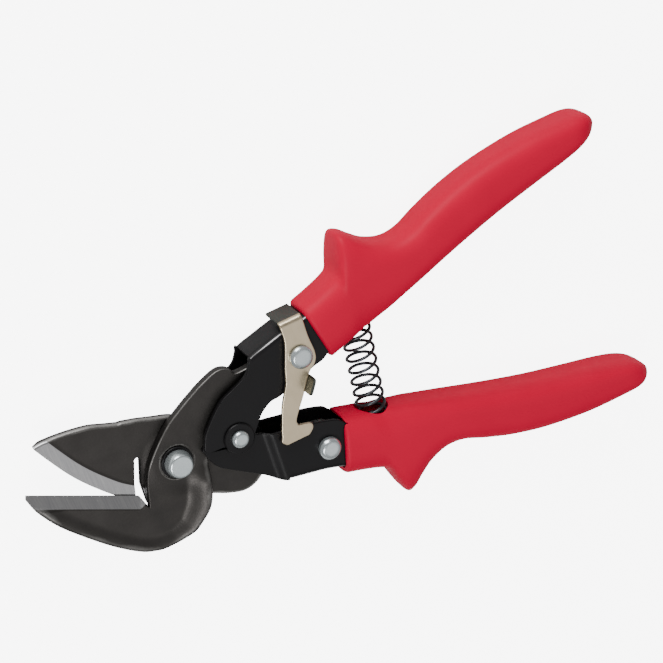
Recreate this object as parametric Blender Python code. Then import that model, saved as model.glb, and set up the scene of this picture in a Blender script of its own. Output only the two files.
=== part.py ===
"""Aviation snips: compound-action offset sheet-metal shears lying on their side.

All sizes are in millimetres and turned into metres when a mesh is made.
+Z runs along every pivot, +X points to the jaw tips, and the origin is the
main pivot's axis at the end face of its bolt, which is the lowest point.
The upper handle and the tail in it lie on the -Y side, the lower ones on +Y.
"""
import math

import bmesh
import bpy
from mathutils import Vector

MM = 0.001
GAP = 0.3                   # room between pieces that touch or slide
UP, DOWN = -1, 1            # side of the centre line, as a sign for Y

# Four-bar linkage: two blade tails and two handles, open by HALF_SPREAD.
TAIL_LINK = 56.0            # main pivot to link rivet
HANDLE_LINK = 35.6          # handle pivot to link rivet
HALF_SPREAD = 19.5          # link rivet to the centre line, handles open
LINK_X = -math.sqrt(TAIL_LINK ** 2 - HALF_SPREAD ** 2)
HANDLE_PIVOT_X = LINK_X + math.sqrt(HANDLE_LINK ** 2 - HALF_SPREAD ** 2)

# Layers, as heights above the bolt's end face.
SHEAR_PLANE = 10.0          # the two blades meet here
BLADE = 3.5                 # thickness of each blade
RIM_TOP = 6.4               # raised rim of the lower jaw, above the shear plane
SHEET = 1.5                 # handle channel sheet
NARROW_IN = 4.0             # half width inside the lower channel at its nose
WIDE_IN = 5.8               # half width inside both channels behind it
LATCH_LOW, LATCH_HIGH = 8.3, 9.5
GRIP_HALF = 9.4             # half thickness of a grip

# Round pieces.
BOLT_R, BOLT_HEAD_R, NUT_ACROSS_FLATS = 3.5, 5.0, 11.0
PIVOT_RIVET_R, PIVOT_HEAD_R, PIVOT_SPACER_R = 2.4, 3.1, 3.9
LINK_RIVET_R, LINK_HEAD_R, LINK_SPACER_R = 3.0, 4.2, 5.8
OPEN_LINK_PLAY = 0.45       # radial play in the lower blade's tail hole
SLIDE_PLAY = 0.25
EYE_R = 6.8                 # eye at the end of each tail

# Return spring between the handles.
SPRING_X, SPRING_SEAT, SPRING_R, WIRE_R, SPRING_TURNS = -76.0, 23.6, 5.2, 0.60, 12
SPRING_LEAN = 0.10          # sideways run of its axis for each unit along Y

COLOURS = {
    "blade_steel": ((0.070, 0.062, 0.055), 0.42, 0.85),
    "black_steel": ((0.016, 0.015, 0.017), 0.38, 0.30),
    "zinc": ((0.52, 0.56, 0.56), 0.28, 1.0),
    "nickel": ((0.48, 0.43, 0.36), 0.30, 1.0),
    "spring_wire": ((0.02, 0.02, 0.02), 0.35, 0.8),
    "red_vinyl": ((0.62, 0.035, 0.060), 0.45, 0.0),
}


# ---------------------------------------------------------------- helpers

def clear_scene():
    for old in list(bpy.data.objects):
        bpy.data.objects.remove(old, do_unlink=True)


def make_materials():
    made = {}
    for name, (colour, roughness, metallic) in COLOURS.items():
        made[name] = bpy.data.materials.new(name)
        made[name].use_nodes = True
        shader = made[name].node_tree.nodes["Principled BSDF"]
        shader.inputs["Base Color"].default_value = (*colour, 1.0)
        shader.inputs["Roughness"].default_value = roughness
        shader.inputs["Metallic"].default_value = metallic
    return made


def add_body(name, x, y):
    """An empty on a joint's axis, which carries the pieces of one body."""
    empty = bpy.data.objects.new(name, None)
    empty.location = Vector((x, y, SHEAR_PLANE)) * MM
    bpy.context.collection.objects.link(empty)
    return empty


def add_piece(name, bm, body=None, material=None):
    """Turn a bmesh in millimetres into a named object carried by a body."""
    bmesh.ops.scale(bm, vec=(MM, MM, MM), verts=bm.verts)
    bmesh.ops.recalc_face_normals(bm, faces=bm.faces)
    mesh = bpy.data.meshes.new(name)
    bm.to_mesh(mesh)
    bm.free()
    mesh.shade_smooth()
    mesh.set_sharp_from_angle(angle=math.radians(35))
    piece = bpy.data.objects.new(name, mesh)
    bpy.context.collection.objects.link(piece)
    if body:
        piece.parent = body
        piece.location = -body.location
    if material:
        mesh.materials.append(MATERIALS[material])
    return piece


def combine(piece, other, operation):
    """Cut other from piece, or join it on, and keep it as a hidden guide."""
    other.hide_render = True
    other.display_type = "WIRE"
    modifier = piece.modifiers.new(other.name, "BOOLEAN")
    modifier.solver = "EXACT"
    modifier.operation = operation
    modifier.object = other


def height(above_shear_plane):
    return SHEAR_PLANE + above_shear_plane


def slab(outline, low, high):
    """An outline in XY, extruded between two heights above the shear plane."""
    bm = bmesh.new()
    bottom = [bm.verts.new((x, y, height(low))) for x, y in outline]
    top = [bm.verts.new((x, y, height(high))) for x, y in outline]
    bm.faces.new(bottom[::-1])
    bm.faces.new(top)
    count = len(outline)
    for i in range(count):
        j = (i + 1) % count
        bm.faces.new((bottom[i], bottom[j], top[j], top[i]))
    return bm


def turned(profile, x, y, sides=24):
    """A closed (radius, height) profile turned about a vertical axis."""
    bm = bmesh.new()
    rings = []
    for radius, z in profile:
        if radius == 0.0:
            rings.append([bm.verts.new((x, y, height(z)))])
            continue
        angles = [math.tau * k / sides for k in range(sides)]
        rings.append([bm.verts.new((x + radius * math.cos(a), y + radius * math.sin(a), height(z)))
                      for a in angles])
    for ring, following in zip(rings, rings[1:] + rings[:1]):
        for k in range(sides):
            m = (k + 1) % sides
            corners = [ring[k % len(ring)], ring[m % len(ring)],
                       following[m % len(following)], following[k % len(following)]]
            unique = list(dict.fromkeys(corners))
            if len(unique) > 2:
                bm.faces.new(unique)
    return bm


def cylinder(x, y, radius, low, high, sides=24):
    return turned([(0.0, low), (radius, low), (radius, high), (0.0, high)], x, y, sides)


def ring_profile(inner, outer, low, high):
    return [(inner, low), (outer, low), (outer, high), (inner, high)]


def arc(x, y, radius, start, end, steps):
    """Points on an arc; angles in degrees, counter-clockwise seen from +Z."""
    turn = [math.radians(start + (end - start) * k / steps) for k in range(steps + 1)]
    return [(x + radius * math.cos(a), y + radius * math.sin(a)) for a in turn]


def rounded(points, steps=3, closed=False):
    """A Catmull-Rom curve through the points."""
    out = []
    count = len(points)
    for i in range(count if closed else count - 1):
        near = [points[(i + k) % count] if closed else points[min(max(i + k, 0), count - 1)]
                for k in (-1, 0, 1, 2)]
        for k in range(steps):
            t = k / steps
            weights = (-t + 2 * t ** 2 - t ** 3, 2 - 5 * t ** 2 + 3 * t ** 3,
                       t + 4 * t ** 2 - 3 * t ** 3, t ** 3 - t ** 2)
            out.append(tuple(0.5 * sum(w * p[a] for w, p in zip(weights, near)) for a in (0, 1)))
    if not closed:
        out.append(points[-1])
    return out


def on_side(points, side):
    """Points given as (x, distance from the centre line), put on one side."""
    return [(x, side * v) for x, v in points]


# ---------------------------------------------------------------- blades

def tail(side, outer):
    """A blade's tail, from its outer edge round the eye to the hub's inner side.

    The inner edge is hollowed to pass the handle pivot's spacer.
    """
    eye = arc(LINK_X, HALF_SPREAD, EYE_R, 52, 265, 12)
    inner = rounded([(-45.5, 13.0), (-36.0, 10.4), (-25.5, 8.7), (-17.5, 8.2),
                     (-13.5, 4.5), (-11.2, -1.0)])
    return on_side(rounded(outer) + eye + inner, side)


def cut_blade_holes(piece, side, play):
    pivot = add_piece(piece.name + "_pivot_hole", cylinder(0, 0, BOLT_R + SLIDE_PLAY, -9, 9))
    link = add_piece(piece.name + "_link_hole",
                     cylinder(LINK_X, side * HALF_SPREAD, LINK_RIVET_R + play, -9, 9))
    combine(piece, pivot, "DIFFERENCE")
    combine(piece, link, "DIFFERENCE")


def make_lower_jaw(body):
    """The near blade: a scoop with a ground straight edge and a raised rim."""
    tip, heel, throat = (52.5, -12.3), (16.1, 7.2), (14.6, 12.0)
    scoop = rounded([tip, (50.7, -4.6), (45.8, 3.5), (38.4, 12.3), (30.5, 20.1), (22.6, 26.2),
                     (14.7, 29.2), (6.3, 29.0), (-0.1, 26.4), (-5.2, 21.8), (-7.8, 16.7),
                     (-9.4, 10.0), (-10.6, 5.0)])
    tail_outer = [(-23.0, 25.2), (-26.5, 25.0), (-29.0, 23.3), (-30.0, 21.4), (-36.0, 21.6),
                  (-43.0, 23.4), (-46.5, 24.6)]
    hub = rounded([(12.7, 3.9), (10.1, -2.3), (6.1, -7.3), (-0.7, -13.8), (-8.0, -18.4),
                   (-16.7, -22.9)])
    outline = scoop + tail(UP, tail_outer)[::-1] + hub[::-1] + [throat, heel]
    gap = GAP / 2
    jaw = add_piece("lower_jaw", slab(outline, gap, gap + BLADE), body, "blade_steel")
    rim_end = 3 * 10 + 1
    outer_rim = scoop[1:rim_end]
    inner_rim = []
    for k in range(1, rim_end):
        ahead, behind = Vector(scoop[k + 1]), Vector(scoop[k - 1])
        along = (ahead - behind).normalized()
        width = 4.0 * min(1.0, k / 8)
        inner_rim.append((scoop[k][0] + along.y * width, scoop[k][1] - along.x * width))
    rim = add_piece("rim_guide", slab(outer_rim + inner_rim[::-1], gap + BLADE - 1.0, RIM_TOP))
    combine(jaw, rim, "UNION")
    seat = add_piece("bolt_seat_guide", cylinder(0, 0, 6.4, 3.2, 12))
    combine(jaw, seat, "DIFFERENCE")
    combine(jaw, edge_cutter(tip, heel), "DIFFERENCE")
    cut_blade_holes(jaw, UP, OPEN_LINK_PLAY)


def edge_cutter(tip, heel):
    """A wedge that grinds the bevel along the lower jaw's straight edge."""
    bevel_width, bevel_start, bevel_end = 4.2, 0.6, 2.4
    along = (Vector(tip) - Vector(heel)).normalized()
    across = Vector((-along.y, along.x))
    if across.y < 0:
        across = -across
    bm = bmesh.new()
    rings = []
    for end in (Vector(heel) + along * 0.5, Vector(tip) + along * 3):
        section = [(-3, bevel_start - 1.3), (bevel_width, bevel_end), (bevel_width, 12), (-3, 12)]
        rings.append([bm.verts.new((*(end + across * s), height(z))) for s, z in section])
    bm.faces.new(rings[0][::-1])
    bm.faces.new(rings[1])
    for k in range(4):
        m = (k + 1) % 4
        bm.faces.new((rings[0][k], rings[0][m], rings[1][m], rings[1][k]))
    return add_piece("edge_guide", bm)


def make_upper_jaw(body):
    """The far blade: a curved edge, with a relief slot at its heel."""
    cutting_edge = rounded([(43.6, -26.0), (40.6, -20.2), (36.1, -12.2), (31.4, -5.5),
                            (25.0, 2.0), (17.4, 8.4)])
    slot = [(16.2, 3.4), (13.4, -4.6)] + arc(12.1, -5.0, 1.2, 0, -180, 6)
    throat = [(13.8, 4.5), (14.2, 12.5)]
    hub = rounded([(14.2, 12.5), (8.5, 14.8), (0.0, 16.5), (-8.2, 19.8), (-14.0, 22.8)])
    tail_outer = [(-20.0, 24.8), (-25.0, 24.0), (-28.8, 22.0), (-30.5, 20.8), (-36.0, 21.2),
                  (-43.0, 23.4), (-46.5, 24.6)]
    back = [(-9.5, -8.5), (-4.7, -14.9), (12.6, -20.9), (13.8, -21.0)]
    spine = rounded([(23.4, -24.8), (30.0, -26.2), (38.0, -27.1), (43.0, -27.0)])
    outline = (cutting_edge + slot + throat + hub[1:] + tail(DOWN, tail_outer) + back + spine)
    gap = GAP / 2
    jaw = add_piece("upper_jaw", slab(outline, -gap - BLADE, -gap), body, "blade_steel")
    cut_blade_holes(jaw, DOWN, SLIDE_PLAY)


# ---------------------------------------------------------------- handles

TANG_OUTER = [(-59.0, 31.6), (-70.0, 34.4), (-85.0, 37.8), (-99.0, 39.6), (-111.0, 43.2),
              (-124.0, 48.0), (-140.0, 52.0), (-156.0, 54.0)]
TANG_INNER = [(-156.0, 44.4), (-140.0, 40.0), (-124.0, 35.0), (-111.0, 31.0), (-99.0, 27.4),
              (-88.0, 26.2), (-70.0, 25.4), (-66.0, 18.0), (-61.7, 16.2), (-61.2, 13.6)]


def strip(line, width):
    """A strip of even width on the inner side of a line drawn toward -X."""
    inner = []
    for k, point in enumerate(line):
        before, after = Vector(line[max(k - 1, 0)]), Vector(line[min(k + 1, len(line) - 1)])
        along = (after - before).normalized()
        inner.append((point[0] + along.y * width * -1, point[1] + along.x * width))
    return line + inner[::-1]


def make_channel(name, side, body, wall, web_line, bends, hole_x, hole_radii):
    """A folded U channel: two walls and a web, open toward the other handle.

    bends is None, or the two x values between which the walls step inward to
    the narrow nose.
    """
    outline = on_side(wall, side)
    channel = None
    for face in (1, -1):
        low, high = sorted((face * WIDE_IN, face * (WIDE_IN + SHEET)))
        bm = slab(outline, low, high)
        if bends:
            joggle(bm, face, bends)
        if channel is None:
            channel = add_piece(name, bm, body, "black_steel")
        else:
            combine(channel, add_piece(name + "_far_wall_guide", bm), "UNION")
    web = slab(on_side(strip(web_line, SHEET), side), -WIDE_IN - 0.5, WIDE_IN + 0.5)
    combine(channel, add_piece(name + "_web_guide", web), "UNION")
    for number, ((x, v), radius) in enumerate(zip(hole_x, hole_radii)):
        hole = cylinder(x, side * v, radius + SLIDE_PLAY, -9, 9)
        combine(channel, add_piece(f"{name}_hole_{number}", hole), "DIFFERENCE")
    return channel


def joggle(bm, face, bends):
    """Step a flat wall inward in front of the two bend lines."""
    start, end = bends
    for x in (start, end):
        geometry = bm.verts[:] + bm.edges[:] + bm.faces[:]
        bmesh.ops.bisect_plane(bm, geom=geometry, plane_co=(x, 0, 0), plane_no=(1, 0, 0))
    for vertex in bm.verts:
        share = min(max((vertex.co.x - start) / (end - start), 0.0), 1.0)
        vertex.co.z -= face * share * (WIDE_IN - NARROW_IN)


def make_upper_channel(body):
    web = [(-35.8, 26.3), (-49.0, 30.0)] + TANG_OUTER
    lobe = arc(HANDLE_PIVOT_X, 0, 12.6, 40, 0, 4)
    eye = arc(HANDLE_PIVOT_X, 0, 6.2, -8, -165, 8)
    wall = (web + TANG_INNER + [(-56.0, 12.2), (-43.0, 7.9), (-38.4, 7.3), (-33.6, 4.6)]
            + eye[::-1] + lobe[::-1] + [(-20.3, 15.2), (-32.0, 20.5), (-34.6, 24.0)])
    return make_channel("upper_handle_channel", UP, body, wall, web, None,
                        [(HANDLE_PIVOT_X, 0), (LINK_X, HALF_SPREAD)],
                        [PIVOT_RIVET_R, LINK_RIVET_R])


def make_lower_channel(body):
    web = [(-35.2, 24.8), (-49.0, 28.0)] + TANG_OUTER
    nose = arc(HANDLE_PIVOT_X, 0, 12.8, -5, 62, 6)
    wall = (web + TANG_INNER + [(-59.5, 11.0), (-48.9, 7.8), (-35.5, 5.0), (-29.0, 2.4)]
            + [(-27.5, -3.0)] + arc(HANDLE_PIVOT_X, 0, 6.2, -140, -60, 4) + nose
            + [(-28.1, 19.8), (-30.1, 21.1), (-32.5, 23.9)])
    return make_channel("lower_handle_channel", DOWN, body, wall, web, (-35.0, -31.0),
                        [(HANDLE_PIVOT_X, 0), (LINK_X, HALF_SPREAD)],
                        [PIVOT_RIVET_R, LINK_RIVET_R])


# Ribs of a grip from front to back: (x, distance) of the inner and outer side,
# and how far the lower grip's rib lies in front of the upper one's.
GRIP_RIBS = [
    ((-64.2, 11.5), (-58.6, 33.8), 3.4), ((-68.0, 12.6), (-65.8, 36.0), 3.4),
    ((-71.5, 13.7), (-72.6, 38.6), 3.3), ((-74.0, 14.4), (-75.5, 41.0), 3.2),
    ((-76.5, 15.1), (-77.3, 47.5), 3.1), ((-79.0, 15.9), (-79.6, 53.0), 3.0),
    ((-82.0, 16.7), (-82.6, 52.6), 2.9), ((-86.0, 17.9), (-86.4, 49.2), 2.8),
    ((-91.0, 19.4), (-91.2, 45.4), 2.6), ((-98.0, 21.9), (-98.0, 42.8), 2.4),
    ((-106.0, 24.6), (-105.0, 43.4), 2.2), ((-114.0, 27.3), (-113.0, 47.0), 2.0),
    ((-126.0, 31.1), (-124.0, 51.2), 2.0), ((-140.0, 35.2), (-138.0, 54.8), 2.0),
    ((-156.0, 39.2), (-156.0, 57.2), 2.0), ((-168.0, 42.2), (-171.0, 57.5), 2.0),
    ((-177.0, 45.0), (-180.0, 57.0), 2.0), ((-181.5, 47.2), (-183.8, 55.0), 2.0),
    ((-184.2, 49.8), (-185.2, 52.4), 2.0),
]
GRIP_SQUARENESS = 3.4       # exponent of the grip's superellipse section


def make_grip(name, side, body):
    """A thick vinyl sleeve with a finger guard, blind over the tang."""
    sides = 18
    ahead = 1.0 if side == DOWN else 0.0
    inner = rounded([(x + ahead * shift, v) for (x, v), _, shift in GRIP_RIBS], 2)
    outer = rounded([(x + ahead * shift, v) for _, (x, v), shift in GRIP_RIBS], 2)
    bm = bmesh.new()
    rings = []
    last = len(inner) - 1
    for k, (a, b) in enumerate(zip(inner, outer)):
        middle = (Vector(a) + Vector(b)) / 2
        half = (Vector(b) - Vector(a)) / 2
        thick = GRIP_HALF * (1.0 - 0.55 * max(0.0, (k - last + 6) / 6) ** 2)
        ring = []
        for s in range(sides):
            c, d = math.cos(math.tau * s / sides), math.sin(math.tau * s / sides)
            power = 2 / GRIP_SQUARENESS
            across = math.copysign(abs(c) ** power, c)
            up = math.copysign(abs(d) ** power, d)
            point = middle + half * across
            ring.append(bm.verts.new((point.x, side * point.y, height(thick * up))))
        rings.append(ring)
    for ring, following in zip(rings, rings[1:]):
        for s in range(sides):
            m = (s + 1) % sides
            bm.faces.new((ring[s], ring[m], following[m], following[s]))
    bm.faces.new(rings[0])
    bm.faces.new(rings[-1][::-1])
    grip = add_piece(name, bm, body, "red_vinyl")
    combine(grip, tang_pocket(name, side), "DIFFERENCE")
    recess = spring_cylinder(name + "_recess_guide", side, SPRING_R + WIRE_R + 0.7)
    combine(grip, recess, "DIFFERENCE")


def tang_pocket(name, side):
    """The room that the channel's tang takes inside a grip."""
    outer = [(x, v + GAP) for x, v in TANG_OUTER]
    inner = [(x, v - GAP) for x, v in TANG_INNER[:-2]]
    outer[-1] = (outer[-1][0] - GAP, outer[-1][1])
    inner[0] = (inner[0][0] - GAP, inner[0][1])
    outline = on_side([(-50.0, 29.3)] + outer + inner + [(-61.4, 13.2), (-59.8, 8.0), (-50.0, 8.0)], side)
    reach = WIDE_IN + SHEET + GAP
    return add_piece(name + "_pocket_guide", slab(outline, -reach, reach))


def spring_cylinder(name, side, radius):
    """A cylinder along Y that holds one end of the return spring."""
    sides = 20
    near, far = 5.0, SPRING_SEAT + GAP + WIRE_R
    bm = bmesh.new()
    rings = []
    for v in (near, far):
        x = SPRING_X + SPRING_LEAN * side * v
        rings.append([bm.verts.new((x + radius * math.cos(math.tau * s / sides), side * v,
                                    height(radius * math.sin(math.tau * s / sides))))
                      for s in range(sides)])
    bm.faces.new(rings[0])
    bm.faces.new(rings[1][::-1])
    for s in range(sides):
        m = (s + 1) % sides
        bm.faces.new((rings[0][s], rings[0][m], rings[1][m], rings[1][s]))
    return add_piece(name, bm)


# ---------------------------------------------------------------- round pieces

def head(radius, low, high, chamfer=0.7):
    """The turned profile of a rivet head, from its axis and back to it."""
    return [(radius, low), (radius, high - chamfer), (radius - chamfer * 1.4, high), (0.0, high)]


def foot(radius, low, high, chamfer=0.4):
    return [(0.0, low), (radius - chamfer, low), (radius, low + chamfer), (radius, high)]


def make_rivet(name, body, x, v, shank, head_radius, near, far):
    """A headed rivet; near and far hold the low and high face of each head."""
    profile = (foot(head_radius, *far) + [(shank, far[1]), (shank, near[0])]
               + head(head_radius, *near))
    add_piece(name, turned(profile, x, v), body, "zinc")


def make_ring(name, body, x, v, inner, outer, low, high, material):
    add_piece(name, turned(ring_profile(inner, outer, low, high), x, v), body, material)


def make_pivot_bolt(lower_jaw):
    """The main bolt, with washers and a hexagon lock nut on the far side."""
    shank = [(0.0, -SHEAR_PLANE), (BOLT_R, -SHEAR_PLANE), (BOLT_R, 4.4)]
    cone = [(BOLT_HEAD_R, 4.4), (BOLT_HEAD_R, 5.4), (4.7, 6.9), (3.7, 8.6), (0.0, 8.6)]
    add_piece("pivot_bolt", turned(shank + cone, 0, 0, 32), lower_jaw, "zinc")
    bore = BOLT_R + SLIDE_PLAY
    make_ring("pivot_head_washer", lower_jaw, 0, 0, bore, 5.9, 3.4, 4.1, "black_steel")
    make_ring("pivot_nut_washer", lower_jaw, 0, 0, bore, 7.2, -5.1, -4.0, "zinc")
    nut = cylinder(0, 0, NUT_ACROSS_FLATS / math.sqrt(3), -9.4, -5.4, 6)
    piece = add_piece("pivot_lock_nut", nut, lower_jaw, "zinc")
    combine(piece, add_piece("nut_bore_guide", cylinder(0, 0, bore, -12, 0)), "DIFFERENCE")


def make_handle_pivot(lower_handle):
    """The rivet that both handles turn on, its spacer and its two washers."""
    wall = WIDE_IN + SHEET
    x = HANDLE_PIVOT_X
    make_rivet("handle_pivot_rivet", lower_handle, x, 0, PIVOT_RIVET_R, PIVOT_HEAD_R,
               (wall + 1.2, wall + 2.9), (-wall - 2.4, -wall - 1.2))
    bore = PIVOT_RIVET_R + SLIDE_PLAY
    make_ring("handle_pivot_spacer", lower_handle, x, 0, bore, PIVOT_SPACER_R,
              -NARROW_IN + GAP, NARROW_IN - GAP, "zinc")
    make_ring("handle_pivot_near_washer", lower_handle, x, 0, bore, 5.6,
              wall + 0.2, wall + 1.0, "black_steel")
    make_ring("handle_pivot_far_washer", lower_handle, x, 0, bore, 5.6,
              -wall - 1.0, -wall - 0.2, "black_steel")


def make_link(prefix, body, side, tail_low, tail_high, near_head):
    """A link rivet, with a spacer on each side of the tail that turns on it."""
    wall = WIDE_IN + SHEET
    y = side * HALF_SPREAD
    make_rivet(prefix + "_link_rivet", body, LINK_X, y, LINK_RIVET_R, LINK_HEAD_R,
               near_head, (-wall - 1.8, -wall - 0.2))
    bore = LINK_RIVET_R + SLIDE_PLAY
    make_ring(prefix + "_link_near_spacer", body, LINK_X, y, bore, LINK_SPACER_R,
              tail_high + GAP, WIDE_IN - GAP, "zinc")
    make_ring(prefix + "_link_far_spacer", body, LINK_X, y, bore, LINK_SPACER_R,
              -WIDE_IN + GAP, tail_low - GAP, "zinc")


# ---------------------------------------------------------------- latch and spring

def make_latch(body):
    """A folded hook on the upper link rivet that catches the lower one's head.

    Its points are offsets from the rivet, +y toward the lower handle.
    """
    plate = [(-5.0, -13.5), (-5.0, -6.0), (-5.6, 1.0), (-4.4, 4.6), (-1.2, 7.4), (3.3, 14.4),
             (8.2, 21.5), (8.5, 23.8), (4.0, 25.6), (3.6, 27.6), (5.4, 29.4), (15.0, 29.4),
             (16.2, 27.8), (13.2, 17.0), (9.0, 9.6), (6.4, 1.0), (3.9, -7.0), (3.7, -13.5)]
    placed = [(LINK_X + x, -HALF_SPREAD + y) for x, y in plate]
    latch = add_piece("latch", slab(placed, LATCH_LOW, LATCH_HIGH), body, "nickel")
    top_tab = [(-5.0, -14.7), (-5.0, -13.4), (3.7, -13.4), (3.7, -14.7)]
    tab = slab([(LINK_X + x, -HALF_SPREAD + y) for x, y in top_tab], -3.5, LATCH_HIGH)
    combine(latch, add_piece("latch_top_tab_guide", tab), "UNION")
    thumb = [(-0.6, 8.2), (2.7, 13.4), (3.8, 12.8), (0.5, 7.6)]
    tab = slab([(LINK_X + x, -HALF_SPREAD + y) for x, y in thumb], LATCH_LOW, LATCH_HIGH + 5.5)
    combine(latch, add_piece("latch_thumb_tab_guide", tab), "UNION")
    hole = cylinder(LINK_X, -HALF_SPREAD, LINK_RIVET_R + SLIDE_PLAY, 5, 12)
    combine(latch, add_piece("latch_hole_guide", hole), "DIFFERENCE")
    make_ring("latch_washer", body, LINK_X, -HALF_SPREAD, LINK_RIVET_R + SLIDE_PLAY, 4.6,
              WIDE_IN + SHEET + 0.2, LATCH_LOW - 0.2, "zinc")


def make_return_spring(body):
    """A wire coil along Y, its open turns between closed end turns."""
    per_turn, around = 16, 6
    steps = SPRING_TURNS * per_turn
    bm = bmesh.new()
    rings = []
    for k in range(steps + 1):
        turn = -math.tau * k / per_turn
        share = k / steps
        eased = share - 0.030 * math.sin(math.tau * share)
        y = -SPRING_SEAT + 2 * SPRING_SEAT * eased
        outward = Vector((math.cos(turn), 0, math.sin(turn)))
        centre = Vector((SPRING_X + SPRING_LEAN * y, y, height(0))) + outward * SPRING_R
        rings.append([bm.verts.new(centre + WIRE_R * (outward * math.cos(math.tau * s / around)
                                                      + Vector((0, 1, 0)) * math.sin(math.tau * s / around)))
                      for s in range(around)])
    for ring, following in zip(rings, rings[1:]):
        for s in range(around):
            m = (s + 1) % around
            bm.faces.new((ring[s], ring[m], following[m], following[s]))
    bm.faces.new(rings[0])
    bm.faces.new(rings[-1][::-1])
    add_piece("return_spring", bm, body, "spring_wire")


# ---------------------------------------------------------------- assembly

clear_scene()
MATERIALS = make_materials()

lower_handle = add_body("lower_handle_body", HANDLE_PIVOT_X, 0)
upper_handle = add_body("upper_handle_body", HANDLE_PIVOT_X, 0)
upper_jaw = add_body("upper_jaw_body", LINK_X, HALF_SPREAD)
lower_jaw = add_body("lower_jaw_body", 0, 0)
latch = add_body("latch_body", LINK_X, -HALF_SPREAD)

make_lower_jaw(lower_jaw)
make_pivot_bolt(lower_jaw)
make_upper_jaw(upper_jaw)
make_lower_channel(lower_handle)
make_grip("lower_grip", DOWN, lower_handle)
make_handle_pivot(lower_handle)
make_return_spring(lower_handle)
make_link("lower", lower_handle, DOWN, -GAP / 2 - BLADE, -GAP / 2, (7.6, 10.2))
make_upper_channel(upper_handle)
make_grip("upper_grip", UP, upper_handle)
make_link("upper", upper_handle, UP, GAP / 2, GAP / 2 + BLADE, (9.8, 11.7))
make_latch(latch)
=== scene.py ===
"""Aviation snips lying on their side: forged blades, folded black handles with red vinyl grips,
a nickel-plated latch and a wire return spring. Sizes are in millimetres, and heights are measured
from the shear plane between the two blades, as the part has them.
"""
import math

import bmesh
import bpy
import numpy as np
from mathutils import Matrix, Vector


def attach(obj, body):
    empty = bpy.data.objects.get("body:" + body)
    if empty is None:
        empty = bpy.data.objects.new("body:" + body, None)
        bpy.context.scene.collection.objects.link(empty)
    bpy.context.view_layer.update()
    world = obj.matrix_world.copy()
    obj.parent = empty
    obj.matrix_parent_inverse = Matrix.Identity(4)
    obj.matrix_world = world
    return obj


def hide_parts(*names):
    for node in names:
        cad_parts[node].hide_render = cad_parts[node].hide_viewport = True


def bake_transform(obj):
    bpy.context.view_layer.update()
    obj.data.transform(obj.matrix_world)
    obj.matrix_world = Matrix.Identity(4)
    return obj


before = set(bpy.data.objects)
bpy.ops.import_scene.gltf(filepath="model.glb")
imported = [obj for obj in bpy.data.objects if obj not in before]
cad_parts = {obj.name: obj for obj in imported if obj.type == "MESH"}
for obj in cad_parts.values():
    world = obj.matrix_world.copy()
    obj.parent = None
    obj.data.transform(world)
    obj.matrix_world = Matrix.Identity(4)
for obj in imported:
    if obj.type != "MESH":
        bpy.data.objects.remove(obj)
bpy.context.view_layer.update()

# ---------------------------------------------------------------- studio
# A pale painted floor under a plain white sky, with a strong soft light low on the side of the
# upper handle, a weaker one over the blades and a faint one over the grips. The camera looks
# down from the bolt's head side, turned so that the jaws point to the lower left.

MM = 0.001


def linear(code):
    """An sRGB hex colour as linear RGBA: up to 0.04045 each channel is divided by 12.92; above
    it, 0.055 is added, the sum is divided by 1.055 and raised to the power 2.4."""
    c = np.array([int(code[k:k + 2], 16) for k in (1, 3, 5)]) / 255
    return (*np.where(c <= 0.04045, c / 12.92, ((c + 0.055) / 1.055) ** 2.4), 1.0)


def add_node(tree, kind, settings=(), links=()):
    """A node with its properties and input values set, and its inputs linked from other outputs."""
    node = tree.nodes.new(kind)
    for key, value in dict(settings).items():
        if isinstance(key, int) or key in node.inputs:
            node.inputs[key].default_value = value
        else:
            setattr(node, key, value)
    for key, output in dict(links).items():
        tree.links.new(output, node.inputs[key])
    return node


def start_material(name):
    """A node material with its shader and the piece's own Object coordinates."""
    made = bpy.data.materials.new(name)
    made.use_nodes = True
    tree = made.node_tree
    shader = tree.nodes["Principled BSDF"]
    place = add_node(tree, "ShaderNodeTexCoord").outputs["Object"]
    return made, tree, shader, place


def aim(roll_deg, azimuth_deg, elevation_deg):
    """Axes of a camera or light: back towards the viewer, then up and right, turned by the roll."""
    a, e, r = (math.radians(x) for x in (azimuth_deg, elevation_deg, roll_deg))
    back = Vector((math.sin(a) * math.cos(e), -math.cos(a) * math.cos(e), math.sin(e)))
    level = (Vector((0, 0, 1)) - back * back.z).normalized()
    side = level.cross(back)
    up = level * math.cos(r) + side * math.sin(r)
    return Matrix((up.cross(back), up, back)).transposed(), back


turned_by, back = aim(-128.0, 30.2, 59.0)
camera = bpy.data.objects.new("camera", bpy.data.cameras.new("camera"))
camera.data.lens, camera.data.sensor_width = 107.6, 36.0
target, stand_off = Vector((-0.0688, -0.0182, 0.0100)), 0.700
camera.matrix_world = Matrix.Translation(target + back * stand_off) @ turned_by.to_4x4()
bpy.context.collection.objects.link(camera)
bpy.context.scene.camera = camera

for name, azimuth, elevation, away, size, power in (
        ("key_softbox", 4.0, 20.0, 0.95, 0.60, 7.5),
        ("blade_side_softbox", 118.0, 57.0, 0.95, 0.42, 4.2),
        ("top_softbox", 212.0, 60.0, 1.10, 0.90, 1.3)):
    turned_by, back = aim(0.0, azimuth, elevation)
    lamp = bpy.data.lights.new(name, "AREA")
    lamp.shape, lamp.size, lamp.energy = "DISK", size, power
    light = bpy.data.objects.new(name, lamp)
    light.matrix_world = Matrix.Translation(target + back * away) @ turned_by.to_4x4()
    bpy.context.collection.objects.link(light)

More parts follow.
